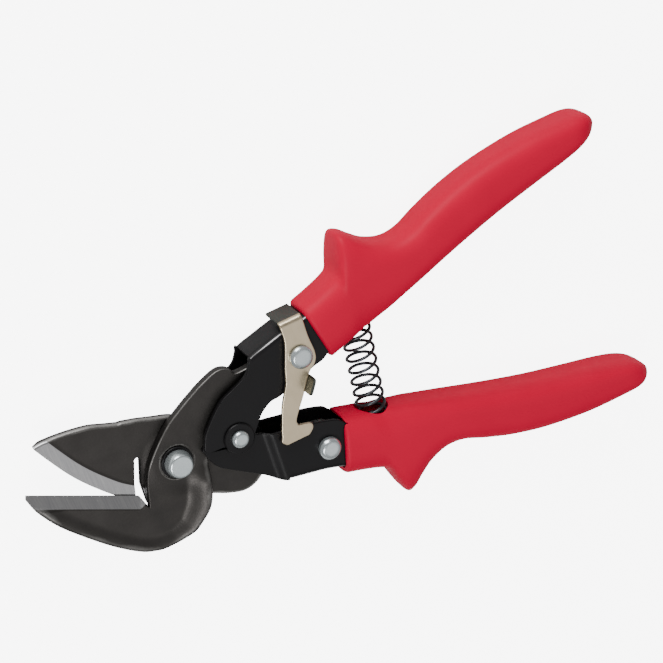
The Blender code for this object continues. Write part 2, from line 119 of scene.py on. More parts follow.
# The sky and the floor glow for the camera only, and stay weaker as lights on the snips.
SKY_AS_LIGHT, SKY_SEEN, FLOOR_GLOW = 0.30, 16.0, 7.0
world = bpy.data.worlds.new("white_sky")
world.use_nodes = True
tree = world.node_tree
seen = add_node(tree, "ShaderNodeLightPath").outputs["Is Camera Ray"]
sky = tree.nodes["Background"]
sky.inputs["Color"].default_value = linear("#FFFFFF")
strength = add_node(tree, "ShaderNodeMapRange", {"To Min": SKY_AS_LIGHT, "To Max": SKY_SEEN},
                    {"Value": seen}).outputs["Result"]
tree.links.new(strength, sky.inputs["Strength"])
bpy.context.scene.world = world

reach, below = 4.0, -0.0004
floor_mesh = bpy.data.meshes.new("floor")
floor_mesh.from_pydata([(-reach, -reach, below), (reach, -reach, below),
                        (reach, reach, below), (-reach, reach, below)], [], [(0, 1, 2, 3)])
floor = bpy.data.objects.new("floor", floor_mesh)
bpy.context.collection.objects.link(floor)
paint, tree, shader, place = start_material("matt_white_painted_board")
shader.inputs["Base Color"].default_value = linear("#EDEDEC")
shader.inputs["Roughness"].default_value = 0.9
shader.inputs["Emission Color"].default_value = linear("#FFFFFF")
seen = add_node(tree, "ShaderNodeLightPath").outputs["Is Camera Ray"]
tree.links.new(add_node(tree, "ShaderNodeMath", {"operation": "MULTIPLY", 1: FLOOR_GLOW},
                        {0: seen}).outputs[0], shader.inputs["Emission Strength"])
floor_mesh.materials.append(paint)

# ---------------------------------------------------------------- lower jaw
# The near blade: a drop-forged scoop of tool steel, its rim turned up, with a straight edge
# ground along its front. It turns on the pivot bolt, and its tail reaches into the upper handle.
# Forged and oil-blackened steel looks warm grey and grainy; the ground bevel is bright.

SHEAR_PLANE, GAP, BLADE = 10.0, 0.15, 3.5
LINK_X, HALF_SPREAD = -52.495, 19.5     # the two link rivets, either side of the middle
BOLT_HOLE, STEPS = 3.75, 6              # hole radius; curve steps between outline points


def spline(points, steps, corners=()):
    """A Catmull-Rom curve: each span weighs its four nearest points by cubics in t. The curve
    stops and starts afresh at each corner."""
    p = np.array(points, float)
    t = np.arange(steps) / steps
    weight = 0.5 * np.array([-t + 2 * t ** 2 - t ** 3, 2 - 5 * t ** 2 + 3 * t ** 3,
                             t + 4 * t ** 2 - 3 * t ** 3, t ** 3 - t ** 2])
    curve = []
    for first, last in zip((0, *corners), (*corners, len(p) - 1)):
        run = np.vstack([p[first:first + 1], p[first:last + 1], p[last:last + 1]])
        near = np.stack([run[k:len(run) - 3 + k] for k in range(4)])
        curve.append(np.einsum("ks,kpd->psd", weight, near).reshape(-1, p.shape[1]))
    return np.vstack([*curve, p[-1:]])


def distance_to(line, xy):
    """Distance from each point to the nearest place on a polyline."""
    start, along = line[:-1], np.diff(line, axis=0)
    away = xy[..., None, :] - start
    share = np.clip((away * along).sum(-1) / np.maximum((along ** 2).sum(-1), 1e-9), 0, 1)
    return np.sqrt(((away - share[..., None] * along) ** 2).sum(-1)).min(-1)


def smooth(t):
    """Eases from 0 to 1: 3 t^2 - 2 t^3 between t = 0 and t = 1."""
    t = np.clip(t, 0, 1)
    return t * t * (3 - 2 * t)


def corner(distance, radius):
    """How far a rounded corner lies below its face: r - sqrt(r^2 - (r - d)^2) within r."""
    inside = radius - np.clip(distance, 0, radius)
    return radius - np.sqrt(np.maximum(radius ** 2 - inside ** 2, 0))


def cross_sections(side_a, side_b, top, bottom, points=72):
    """Closed sections across a plate, from side a at (1 - cos(pi s)) / 2 of the way to side b:
    out over the top face and back over the bottom one."""
    share = (1 - np.cos(np.pi * np.linspace(0, 1, points))) / 2
    xy = side_a[:, None] + (side_b - side_a)[:, None] * share[None, :, None]
    return np.concatenate([np.dstack([xy, top(xy)]), np.dstack([xy, bottom(xy)])[:, ::-1]], 1)


def finish_mesh(mesh, sharp_deg=35):
    """Merges doubles, drops empty faces, turns every face outward and shades it smooth."""
    bm = bmesh.new()
    bm.from_mesh(mesh)
    bmesh.ops.remove_doubles(bm, verts=bm.verts, dist=2e-6)
    bmesh.ops.dissolve_degenerate(bm, edges=bm.edges, dist=1e-6)
    bmesh.ops.recalc_face_normals(bm, faces=bm.faces)
    if bm.calc_volume(signed=True) < 0:
        bmesh.ops.reverse_faces(bm, faces=bm.faces)
    bm.to_mesh(mesh)
    bm.free()
    mesh.shade_smooth()
    mesh.set_sharp_from_angle(angle=math.radians(sharp_deg))


def make_piece(name, shells, material, sharp_deg=35, open_columns=None):
    """Skins one or more shells of rings[i, j], station i and point j round a closed section:
    quads between neighbours, and one face at each end unless the last ring meets the first.
    open_columns(i, j) leaves quads out."""
    points, faces, used = [], [], 0
    for rings in shells:
        n, m = rings.shape[:2]
        index = np.arange(n * m).reshape(n, m) + used
        beside = np.roll(index, -1, axis=1)
        quads = np.stack([index[:-1], beside[:-1], beside[1:], index[1:]], -1)
        if open_columns is not None:
            quads = quads[~open_columns(*np.indices(quads.shape[:2]))]
        faces += quads.reshape(-1, 4).tolist()
        if not np.allclose(rings[0], rings[-1]):
            faces += [index[0, ::-1].tolist(), index[-1].tolist()]
        points.append(rings.reshape(-1, 3))
        used += n * m
    mesh = bpy.data.meshes.new(name)
    mesh.from_pydata((np.vstack(points) + (0, 0, SHEAR_PLANE)) * MM, [], faces)
    finish_mesh(mesh, sharp_deg)
    mesh.materials.append(material)
    piece = bpy.data.objects.new(name, mesh)
    bpy.context.collection.objects.link(piece)
    return piece


def cut(piece, rings):
    """Cuts the solid that the rings skin out of a piece."""
    tool = make_piece("cutter", [rings], piece.data.materials[0])
    modifier = piece.modifiers.new("cut", "BOOLEAN")
    modifier.solver, modifier.operation, modifier.object = "EXACT", "DIFFERENCE", tool
    bpy.context.view_layer.update()
    old = piece.data
    shape = bpy.data.meshes.new_from_object(
        piece.evaluated_get(bpy.context.evaluated_depsgraph_get()))
    piece.modifiers.clear()
    shape.name, piece.data = old.name, shape
    bpy.data.objects.remove(tool)
    bpy.data.meshes.remove(old)
    finish_mesh(shape)


def round_bar(x, y, radius, low, high, sides=64):
    """Two rings of a cylinder along Z."""
    turn = np.arange(sides) * math.tau / sides
    circle = np.stack([x + radius * np.cos(turn), y + radius * np.sin(turn)], -1)
    return np.stack([np.c_[circle, np.full(sides, z)] for z in (low, high)])


def mark(piece, name, measure):
    """Stores measure(points in mm) on the vertices, for the material to read."""
    mesh = piece.data
    places = np.zeros(len(mesh.vertices) * 3)
    mesh.vertices.foreach_get("co", places)
    places = places.reshape(-1, 3) / MM - (0, 0, SHEAR_PLANE)
    attribute = mesh.attributes.new(name, "FLOAT", "POINT")
    attribute.data.foreach_set("value", measure(places).astype(np.float32))


def settle(piece, body, slot, *nodes):
    """The piece rides on its body and stands for its CAD nodes; the slot is not used."""
    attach(piece, body)
    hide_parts(*nodes)


# Forged tool steel, phosphated and oiled: dark warm grey with a 0.6 mm shot-blasted grain, drawn
# a little coarser than real so that it shows. Ground land is bare and bright, with fine grinding
# lines across the edge. Edges are lightened towards bare metal: worn corners, and along the lower
# jaw's rim crest a painted highlight.
blade_steel, tree, shader, place = start_material("phosphated_forged_steel")
grain = add_node(tree, "ShaderNodeTexNoise", {"Scale": 1 / (0.7 * MM), "Detail": 3.0},
                 {"Vector": place}).outputs["Fac"]
cloud = add_node(tree, "ShaderNodeTexNoise", {"Scale": 1 / (9 * MM), "Detail": 4.0},
                 {"Vector": place}).outputs["Fac"]
lines_at = add_node(tree, "ShaderNodeMapping",
                    {"Rotation": (0, 0, math.radians(27.3)), "Scale": (2600.0, 120.0, 120.0)},
                    {"Vector": place}).outputs["Vector"]
lines = add_node(tree, "ShaderNodeTexNoise", {"Scale": 1.0, "Detail": 2.0},
                 {"Vector": lines_at}).outputs["Fac"]
to_edge = add_node(tree, "ShaderNodeAttribute", {"attribute_name": "to_edge"}).outputs["Fac"]
to_side = add_node(tree, "ShaderNodeAttribute", {"attribute_name": "to_side"}).outputs["Fac"]
ground = add_node(tree, "ShaderNodeMapRange", {"From Min": 0.08, "From Max": -0.08},
                  {"Value": to_edge}).outputs["Result"]
ragged = add_node(tree, "ShaderNodeMath", {"operation": "MULTIPLY_ADD", 1: 0.55},
                  {0: cloud, 2: to_side}).outputs[0]
# Edge lightening: worn bare metal at corners, and on the lower jaw a painted highlight along the
# rim crest.
edge_lightening = add_node(tree, "ShaderNodeMapRange",
                {"From Min": 0.75, "From Max": 0.35, "To Max": 0.75},
                {"Value": ragged}).outputs["Result"]
dark = add_node(tree, "ShaderNodeMix", {"data_type": "RGBA", 6: linear("#484645"),
                                        7: linear("#625F5D")}, {0: cloud}).outputs[2]
dark = add_node(tree, "ShaderNodeMix", {"data_type": "RGBA", 0: 0.5, 7: linear("#4C4946"),
                                        "blend_type": "OVERLAY"}, {6: dark}).outputs[2]
bare = add_node(tree, "ShaderNodeMix", {"data_type": "RGBA", 6: linear("#96969A"),
                                        7: linear("#BEBDBC")}, {0: lines}).outputs[2]
colour = add_node(tree, "ShaderNodeMix", {"data_type": "RGBA", 7: linear("#A8A6A3")},
                  {0: edge_lightening, 6: dark}).outputs[2]
add_node(tree, "ShaderNodeMix", {"data_type": "RGBA"}, {0: ground, 6: colour, 7: bare})
tree.links.new(tree.nodes[-1].outputs[2], shader.inputs["Base Color"])
rough = add_node(tree, "ShaderNodeMapRange", {"To Min": 0.36, "To Max": 0.52},
                 {"Value": grain}).outputs["Result"]
rough = add_node(tree, "ShaderNodeMix", {3: 0.30}, {0: ground, 2: rough}).outputs[0]
tree.links.new(rough, shader.inputs["Roughness"])
relief = add_node(tree, "ShaderNodeMix", {}, {0: ground, 2: grain, 3: lines}).outputs[0]
bump = add_node(tree, "ShaderNodeBump", {"Strength": 0.30, "Distance": 0.10 * MM},
                {"Height": relief}).outputs["Normal"]
tree.links.new(bump, shader.inputs["Normal"])
shader.inputs["Metallic"].default_value = 0.92

tip, heel = (52.5, -12.3), (16.1, 7.2)
# Pairs of outline points that face each other: the scoop's side, then the edge's side.
pairs = [((52.8, -10.7), (52.2, -12.1)), ((50.7, -4.6), (47.5, -9.6)),
         ((45.8, 3.5), (43.1, -7.25)), ((38.4, 12.3), (36.0, -3.45)),
         ((30.6, 20.4), (28.8, 0.40)), ((22.8, 26.7), (21.5, 4.31)),
         ((17.6, 29.0), heel), ((14.7, 29.7), heel), ((11.5, 29.8), (14.6, 12.0)),
         ((8.5, 29.6), (14.6, 12.0)), ((3.0, 28.4), (13.6, 8.0)), ((-0.1, 26.4), (12.7, 3.9)),
         ((-5.2, 21.8), (11.6, 0.6)), ((-7.8, 16.7), (10.1, -2.3)), ((-9.4, 10.0), (6.1, -7.3)),
         ((-10.6, 5.0), (-0.7, -13.8)), ((-11.2, 1.0), (-8.0, -18.4)),
         ((-13.5, -4.5), (-12.5, -20.8)), ((-17.5, -8.2), (-16.7, -22.9)),
         ((-21.5, -8.5), (-23.0, -25.2)), ((-25.5, -8.7), (-26.5, -25.0)),
         ((-28.0, -9.1), (-29.0, -23.3)), ((-30.0, -9.4), (-30.0, -21.4)),
         ((-36.0, -10.4), (-36.0, -21.6)), ((-45.5, -13.0), (-43.0, -23.4)),
         ((-48.6, -13.9), (-47.6, -24.9)), ((-52.0, -12.8), (-52.6, -26.3)),
         ((-56.1, -13.7), (-56.6, -24.9)), ((-58.6, -16.5), (-58.8, -22.1)),
         ((-59.3, -19.3), (-59.3, -19.7))]
side_a = spline([a for a, b in pairs], STEPS)
side_b = spline([b for a, b in pairs], STEPS, (6, 7, 8, 9))
scoop, straight_edge = side_a[:STEPS * 15], np.array([tip, heel], float)
throat_side = side_b[STEPS * 7:]
plain_side = np.vstack([throat_side, side_a[STEPS * 14:][::-1]])

BEVEL, BEVEL_SLOPE = 3.9, 0.52          # width of the ground bevel, and its rise per millimetre


def into_bevel(xy):
    """Distance from the straight edge, plus the run past its heel beyond 0.6 mm."""
    run = np.array(heel) - tip
    beyond = np.maximum((xy - heel) @ (run / np.linalg.norm(run)) - 0.6, 0)
    return distance_to(straight_edge, xy) + beyond


def lower_jaw_top(xy):
    """A plate with a turned-up rim: the rim falls to a shallow dish over 5 mm near the tip and
    9.5 mm behind, the hub and tail stay flat, and the bevel is a plane that rises from the edge."""
    x, y = xy[..., 0], xy[..., 1]
    to_rim, to_edge = distance_to(scoop, xy), into_bevel(xy)
    from_bolt, back = np.hypot(x, y), smooth((12 - x) / 18)
    rim = smooth((np.hypot(x - tip[0], y - tip[1]) - 1) / 14) * np.where(
        x < 5, smooth((y - 3) / 9), 1)
    dish = 0.7 * smooth((from_bolt - 7.5) / 7) * smooth((x + 12) / 5) * smooth((y + 9) / 8)
    z = GAP + BLADE - dish + (0.5 + 2.25 * back + dish) * rim * (
        1 - smooth((to_rim - 1.3) / (5.0 + 4.5 * back)))
    z = z - corner(to_rim, 1.6) * (0.6 + 0.5 * rim) - corner(distance_to(plain_side, xy), 0.5)
    bevel = 0.6 + BEVEL_SLOPE * to_edge
    return np.minimum(z, bevel + (z - bevel) * smooth((to_edge - BEVEL) / 0.7))


def lower_jaw_bottom(xy):
    """Flat on the shear plane, with a small radius on every side but the cutting edge."""
    from_tip = np.hypot(xy[..., 0] - tip[0], xy[..., 1] - tip[1])
    return (GAP + corner(distance_to(plain_side, xy), 0.3)
            + corner(distance_to(scoop, xy), 0.9) * smooth((from_tip - 4) / 10))


lower_jaw = make_piece("forged_lower_jaw",
                       [cross_sections(side_a, side_b, lower_jaw_top, lower_jaw_bottom)],
                       blade_steel)
cut(lower_jaw, round_bar(0, 0, 6.4, 3.2, 8.0, 96))
cut(lower_jaw, round_bar(0, 0, BOLT_HOLE, -2, 8))
cut(lower_jaw, round_bar(LINK_X, -HALF_SPREAD, 3.45, -2, 8))
mark(lower_jaw, "to_edge", lambda p: np.where(
    p[:, 2] > 0.4, into_bevel(p[:, :2]) - BEVEL - 0.2, 1.0))
# to_side also measures the lower jaw's rim crest, where the lighter colour is a painted highlight.
mark(lower_jaw, "to_side", lambda p: np.minimum(
    np.hypot(distance_to(throat_side, p[:, :2]), np.clip(GAP + BLADE - p[:, 2], 0, 9)),
    np.minimum(0.34 + 0.12 * np.abs(distance_to(scoop, p[:, :2]) - 1.2),
               0.30 + 0.6 * np.abs(np.hypot(p[:, 0], p[:, 1]) - 6.5)) + 3.0 * (p[:, 2] < 1.5)))
settle(lower_jaw, "lower_jaw", "blade_steel", "lower_jaw")

# ---------------------------------------------------------------- upper jaw
# The far blade: a flat forging with a curved edge, ground bright along it, and a relief slot
# at its heel. It lies under the lower jaw, and its tail reaches into the lower handle.

pairs = [((43.6, -26.0), (43.5, -26.8)), ((40.6, -20.2), (40.6, -27.1)),
         ((36.1, -12.2), (35.0, -26.8)), ((31.4, -5.5), (29.0, -26.0)),
         ((25.0, 2.0), (23.4, -24.8)), ((21.2, 5.5), (18.6, -22.9)),
         ((17.4, 8.4), (13.8, -21.0)), ((17.4, 8.4), (12.6, -20.9)),
         ((14.2, 12.5), (7.5, -19.4)), ((14.2, 12.5), (2.0, -17.4)),
         ((8.5, 14.8), (-4.7, -14.9)), ((4.2, 15.7), (-7.4, -11.8)),
         ((0.0, 16.5), (-9.5, -8.5)), ((-8.2, 19.8), (-11.2, -1.0)),
         ((-14.0, 22.8), (-13.5, 4.5)), ((-20.0, 24.8), (-17.5, 8.2)),
         ((-25.0, 24.0), (-25.5, 8.7)), ((-30.5, 20.8), (-30.5, 9.5)),
         ((-36.0, 21.2), (-36.0, 10.4)), ((-43.0, 23.4), (-45.5, 13.0)),
         ((-47.6, 24.9), (-48.6, 13.9)), ((-52.6, 26.3), (-52.0, 12.8)),
         ((-56.6, 24.9), (-56.1, 13.7)), ((-58.8, 22.1), (-58.6, 16.5)),
         ((-59.3, 19.7), (-59.3, 19.3))]
side_a = spline([a for a, b in pairs], STEPS, (6, 7, 8, 9))
side_b = spline([b for a, b in pairs], STEPS, (6, 7))
curved_edge, spine = side_a[:STEPS * 6 + 1], side_b[:STEPS * 11]
tail_side = np.vstack([side_a[STEPS * 8:], side_b[STEPS * 11:][::-1]])
worn_side = np.vstack([spine, tail_side[::-1]])
LAND = 4.9                  # width of the ground land


def upper_jaw_top(xy):
    """Flat on the shear plane; hollowed by 0.3 mm behind the land, and chamfered at the spine."""
    hollow = 0.3 * smooth((distance_to(curved_edge, xy) - LAND) / 0.7)
    hollow = hollow * smooth((np.hypot(xy[..., 0], xy[..., 1]) - 9) / 3)
    return (-GAP - hollow - corner(distance_to(spine, xy), 1.2)
            - corner(distance_to(tail_side, xy), 0.4))


def upper_jaw_bottom(xy):
    """The back is eased off by 1.2 mm along the curved edge."""
    relief = 1.2 * (1 - smooth(distance_to(curved_edge, xy) / 3))
    return (-GAP - BLADE + relief + corner(distance_to(spine, xy), 0.8)
            + corner(distance_to(tail_side, xy), 0.4))


upper_jaw = make_piece("forged_upper_jaw",
                       [cross_sections(side_a, side_b, upper_jaw_top, upper_jaw_bottom)],
                       blade_steel)
turn = np.radians(np.linspace(0, -180, 17))
slot = np.vstack([[(20.0, 14.0), (17.4, 8.4), (16.2, 3.4), (13.4, -4.6)],
                  np.c_[12.1 + 1.2 * np.cos(turn), -5.0 + 1.2 * np.sin(turn)],
                  [(13.8, 4.5), (14.0, 14.0)]])
cut(upper_jaw, np.stack([np.c_[slot, np.full(len(slot), z)] for z in (-8.0, 4.0)]))
cut(upper_jaw, round_bar(0, 0, BOLT_HOLE, -8, 4))
cut(upper_jaw, round_bar(LINK_X, HALF_SPREAD, 3.25, -8, 4))
mark(upper_jaw, "to_edge", lambda p: np.where(
    p[:, 2] > -1.2, distance_to(curved_edge, p[:, :2]) - LAND, 1.0))
mark(upper_jaw, "to_side", lambda p: np.where(
    (p[:, 0] < -38) | (p[:, 2] > -1.9), 0.42 * distance_to(worn_side, p[:, :2]), 2.0))
settle(upper_jaw, "upper_jaw", "blade_steel", "upper_jaw")

# ---------------------------------------------------------------- handle channels
# Each handle is a U folded from 1.5 mm steel sheet and painted black; the lower one steps
# inward at its nose to pass between the walls of the upper one. A tang runs on into the grip.

SHEET, WIDE_OUT, NARROW_OUT = 1.5, 7.3, 5.5     # sheet, and half the width outside
PIVOT_X, PIVOT_HOLE, LINK_HOLE = -22.711, 2.65, 3.25


def channel_rings(pairs, web_from, bends, side):
    """Both halves of a folded channel. A section starts at the inner side, goes out over the
    wall, round the bend and down the web to the middle, and back on the inside at one sheet's
    depth. In front of the web the wall ends in a plain rounded side. Height follows x, so that
    the walls can step inward between the two bends."""
    a, b = (spline([p[k] for p in pairs], STEPS) for k in (0, 1))
    first = web_from * STEPS
    a, b = (np.insert(s, first, s[first], axis=0) for s in (a, b))
    has_web = (np.arange(len(a)) > first)[:, None]
    width = np.linalg.norm(b - a, axis=1)[:, None]
    fold = np.minimum(np.where(has_web, 2.3, 0.4), width / 3)
    rim = np.minimum(0.4, width / 4)
    inner = np.maximum(fold - SHEET, 0.0)
    leg = np.where(has_web, WIDE_OUT - SHEET, 0.0)
    across_bend, across_wall = 7, 18
    quarter, level = np.linspace(0, math.pi / 2, across_bend), np.linspace(0, 1, across_wall)
    start = np.stack([rim * (1 - np.sin(quarter[::-1])), rim * (1 - np.cos(quarter[::-1]))], -1)
    out = rim + (width - fold - rim) * level
    bend = np.stack([width - fold * (1 - np.sin(quarter)), fold * (1 - np.cos(quarter))], -1)
    down = SHEET + leg
    up_turn = np.stack([width - SHEET - inner * (1 - np.cos(quarter)),
                        SHEET + inner * (1 - np.sin(quarter))], -1)
    home = width - SHEET - inner + (rim - width + SHEET + inner) * level
    under = np.stack([rim * (1 - np.sin(quarter)), SHEET - rim * (1 - np.cos(quarter))], -1)
    section = np.concatenate([
        start, np.stack([out, 0 * out], -1), bend,
        np.stack([width, down], -1), np.stack([width - SHEET, down], -1), up_turn,
        np.stack([home, SHEET + 0 * home], -1), under], 1)
    last_out = start.shape[1] + across_wall + across_bend
    across = (b - a) / np.maximum(width, 1e-6)
    xy = a[:, None] + across[:, None] * section[..., :1]
    outside = WIDE_OUT - (WIDE_OUT - NARROW_OUT) * (
        smooth((xy[..., 0] - bends[0]) / (bends[1] - bends[0])) if bends else 0)
    z = outside - section[..., 1]
    halves = [np.dstack([xy[..., 0], side * xy[..., 1], sign * z]) for sign in (1, -1)]
    return halves, lambda i, j: (j == last_out) & (i > first)


# Black paint baked on sheet steel: satin and nearly black, with a faint orange-peel of about a
# millimetre, and silver where it is rubbed off along the fold.
black_steel, tree, shader, place = start_material("black_baked_paint_on_steel")
peel = add_node(tree, "ShaderNodeTexNoise", {"Scale": 1 / (1.1 * MM), "Detail": 2.0},
                {"Vector": place}).outputs["Fac"]
cloud = add_node(tree, "ShaderNodeTexNoise", {"Scale": 1 / (12 * MM), "Detail": 5.0},
                 {"Vector": place}).outputs["Fac"]
to_fold = add_node(tree, "ShaderNodeAttribute", {"attribute_name": "to_fold"}).outputs["Fac"]
ragged = add_node(tree, "ShaderNodeMath", {"operation": "MULTIPLY_ADD", 1: 0.5},
                  {0: cloud, 2: to_fold}).outputs[0]
edge_lightening = add_node(tree, "ShaderNodeMapRange",
                {"From Min": 0.62, "From Max": 0.42, "To Max": 0.8},
                {"Value": ragged}).outputs["Result"]
paint = add_node(tree, "ShaderNodeMix", {"data_type": "RGBA", 6: linear("#0B0A0C"),
                                         7: linear("#131114")}, {0: cloud}).outputs[2]
paint = add_node(tree, "ShaderNodeMix", {"data_type": "RGBA", 7: linear("#A5A3A4")},
                 {0: edge_lightening, 6: paint}).outputs[2]
tree.links.new(paint, shader.inputs["Base Color"])
tree.links.new(edge_lightening, shader.inputs["Metallic"])
shader.inputs["Specular IOR Level"].default_value = 0.25
tree.links.new(add_node(tree, "ShaderNodeMapRange", {"To Min": 0.34, "To Max": 0.46},
                        {"Value": cloud}).outputs["Result"], shader.inputs["Roughness"])
tree.links.new(add_node(tree, "ShaderNodeBump", {"Strength": 0.10, "Distance": 0.08 * MM},
                        {"Height": peel}).outputs["Normal"], shader.inputs["Normal"])

tang = [((-61.2, 13.6), (-59.0, 31.6)), ((-66.0, 18.0), (-66.0, 33.4)),
        ((-70.0, 25.4), (-70.0, 34.4)), ((-88.0, 26.2), (-85.0, 37.8)),
        ((-99.0, 27.4), (-99.0, 39.6)), ((-111.0, 31.0), (-111.0, 43.2)),
        ((-124.0, 35.0), (-124.0, 48.0)), ((-140.0, 40.0), (-140.0, 52.0)),
        ((-156.0, 44.4), (-156.0, 54.0))]
upper_wall = [((-19.6, -5.4), (-19.6, -5.4)), ((-22.7, -6.2), (-17.6, -3.6)),
              ((-25.8, -5.4), (-16.6, -0.9)), ((-27.3, -4.2), (-10.1, 0.0)),
              ((-28.1, -3.1), (-10.9, 4.3)), ((-28.7, -1.6), (-13.1, 8.1)),
              ((-30.5, 0.7), (-20.3, 15.2)), ((-32.0, 2.8), (-26.4, 18.0)),
              ((-33.6, 4.6), (-32.0, 20.5)), ((-36.0, 6.3), (-34.6, 24.0)),
              ((-38.4, 7.3), (-35.8, 26.3)), ((-43.0, 7.9), (-42.4, 28.2)),
              ((-56.0, 12.2), (-50.5, 30.2))] + tang
lower_wall = [((-19.6, -5.4), (-19.6, -5.4)), ((-22.7, -6.2), (-10.0, -1.1)),
              ((-26.0, -5.3), (-9.9, 1.5)), ((-27.5, -4.0), (-10.7, 4.4)),
              ((-27.5, -3.0), (-12.9, 8.2)), ((-28.3, 0.0), (-16.7, 11.3)),
              ((-29.0, 2.4), (-22.5, 15.6)), ((-32.0, 3.8), (-28.1, 19.8)),
              ((-34.5, 4.8), (-32.0, 23.4)), ((-37.0, 5.3), (-35.2, 24.8)),
              ((-42.0, 6.4), (-42.0, 26.4)), ((-48.9, 7.8), (-49.0, 28.0)),
              ((-58.0, 10.6), (-55.0, 30.0))] + tang
for name, pairs, web_from, bends, side in (("upper_handle", upper_wall, 10, None, -1),
                                           ("lower_handle", lower_wall, 9, (-35.0, -31.0), 1)):
    halves, meeting = channel_rings(pairs, web_from, bends, side)
    channel = make_piece("folded_" + name, halves, black_steel, open_columns=meeting)
    cut(channel, round_bar(PIVOT_X, 0, PIVOT_HOLE, -9, 9))
    cut(channel, round_bar(LINK_X, side * HALF_SPREAD, LINK_HOLE, -9, 9))
    fold_line = spline([b for a, b in pairs[web_from:]], STEPS) * (1, side)
    mark(channel, "to_fold", lambda p: np.hypot(
        distance_to(fold_line, p[:, :2]) - 0.67, np.abs(WIDE_OUT - p[:, 2]) - 0.67))
    settle(channel, name, "black_steel", name + "_channel")

# ---------------------------------------------------------------- bolt, nut, rivets and washers
# The jaws turn on a bolt with a coned head and a hexagon lock nut; the handles turn on
# cold-headed rivets. All are zinc-plated steel but for the black washers on the handles' pivot
# and the washer under the bolt head, given the black paint as a painted shade in the recess round
# it.

# Zinc plating is a bluish silver with a fine frosted grain, duller on flat faces.
zinc, tree, shader, place = start_material("zinc_plated_steel")
frost = add_node(tree, "ShaderNodeTexNoise", {"Scale": 1 / (0.55 * MM), "Detail": 3.0},
                 {"Vector": place}).outputs["Fac"]
tint = add_node(tree, "ShaderNodeTexNoise", {"Scale": 1 / (3 * MM), "Detail": 3.0},
                {"Vector": place}).outputs["Fac"]
plate = add_node(tree, "ShaderNodeMix", {"data_type": "RGBA", 6: linear("#C3CDD0"),
                                         7: linear("#DBE2E3")}, {0: tint}).outputs[2]
tree.links.new(plate, shader.inputs["Base Color"])
tree.links.new(add_node(tree, "ShaderNodeMapRange", {"To Min": 0.16, "To Max": 0.32},
                        {"Value": frost}).outputs["Result"], shader.inputs["Roughness"])
tree.links.new(add_node(tree, "ShaderNodeBump", {"Strength": 0.25, "Distance": 0.06 * MM},
                        {"Height": frost}).outputs["Normal"], shader.inputs["Normal"])
shader.inputs["Metallic"].default_value = 0.8


def revolve(profile, x, y, sides=96):
    """A (radius, height) profile turned about an axis along Z."""
    turn = np.arange(sides)[None] * math.tau / sides
    radius, z = np.array(profile, float).T[..., None]
    return np.dstack([x + radius * np.cos(turn), y + radius * np.sin(turn), z + 0 * turn])


def washer(inner, outer, low, high, ease=0.15):
    """A flat ring's profile with eased rims, back to where it starts."""
    return [(inner, low), (outer - ease, low), (outer, low + ease), (outer, high - ease),
            (outer - ease, high), (inner + ease, high), (inner, high - ease), (inner, low)]


def headed(shank, radius, near, far):
    """A rivet: a chamfered head with softened corners at each end of its shank."""
    head = [(1.0, 0.0), (1.0, 0.5), (0.975, 0.62), (0.80, 0.93), (0.74, 1.0), (0.35, 1.015),
            (0, 1.02)]
    crown = head[-1][1]
    top = [(radius * r, near[0] + (near[1] - near[0]) * h / crown) for r, h in head]
    bottom = [(radius * r, far[1] - (far[1] - far[0]) * h / crown) for r, h in head[::-1]]
    return bottom + [(shank, far[1]), (shank, near[0])] + top


